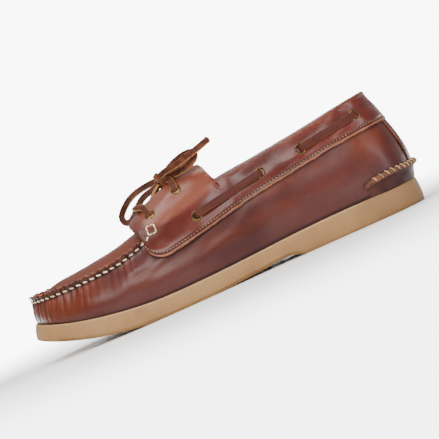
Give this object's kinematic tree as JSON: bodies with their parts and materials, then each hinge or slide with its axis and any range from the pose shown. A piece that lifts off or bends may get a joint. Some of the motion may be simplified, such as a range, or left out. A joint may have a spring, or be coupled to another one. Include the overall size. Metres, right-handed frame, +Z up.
{
  "type": "boat shoe",
  "caption": "Left leather boat shoe with a hand-sewn moccasin toe, a collar band laced through brass eyelets, a tied bow and a flat rubber sole.",
  "frame": {"origin": "on the floor under the middle of the shoe's length and width", "axes": "+Z up, toe towards -Y, the outer side of this left shoe towards +X"},
  "size_m": [0.1045, 0.3056, 0.1046],
  "materials": {
    "sole_rubber": "matt, fine grain",
    "wrap_leather": "oiled pull-up leather, soft gloss",
    "heel_leather": "oiled leather, darker",
    "plug_leather": "oiled leather, smooth",
    "lining_leather": "sueded",
    "lace_leather": "rawhide, dull face with pale edges",
    "eyelet_brass": "antique"
  },
  "bodies": {
    "root": {"outsole": "sole_rubber", "insole": "lining_leather", "upper": "wrap_leather", "plug": "plug_leather", "tongue": "lining_leather", "collar_band": "wrap_leather", "heel_tab": "heel_leather", "eyelet_outer_collar_1": "eyelet_brass", "eyelet_outer_collar_2": "eyelet_brass", "eyelet_outer_collar_3": "eyelet_brass", "eyelet_outer_collar_4": "eyelet_brass", "eyelet_outer_flap_1": "eyelet_brass", "eyelet_outer_flap_2": "eyelet_brass", "eyelet_inner_collar_1": "eyelet_brass", "eyelet_inner_collar_2": "eyelet_brass", "eyelet_inner_collar_3": "eyelet_brass", "eyelet_inner_collar_4": "eyelet_brass", "eyelet_inner_flap_1": "eyelet_brass", "eyelet_inner_flap_2": "eyelet_brass", "lace_outer_back": "lace_leather", "lace_outer_front": "lace_leather", "lace_inner_back": "lace_leather", "lace_inner_front": "lace_leather", "lace_bar": "lace_leather", "lace_knot": "lace_leather", "lace_loop_inner": "lace_leather", "lace_loop_outer": "lace_leather", "lace_end_outer": "lace_leather", "lace_end_inner": "lace_leather", "lace_rise_outer": "lace_leather", "lace_rise_inner": "lace_leather"}
  },
  "joints": []
}
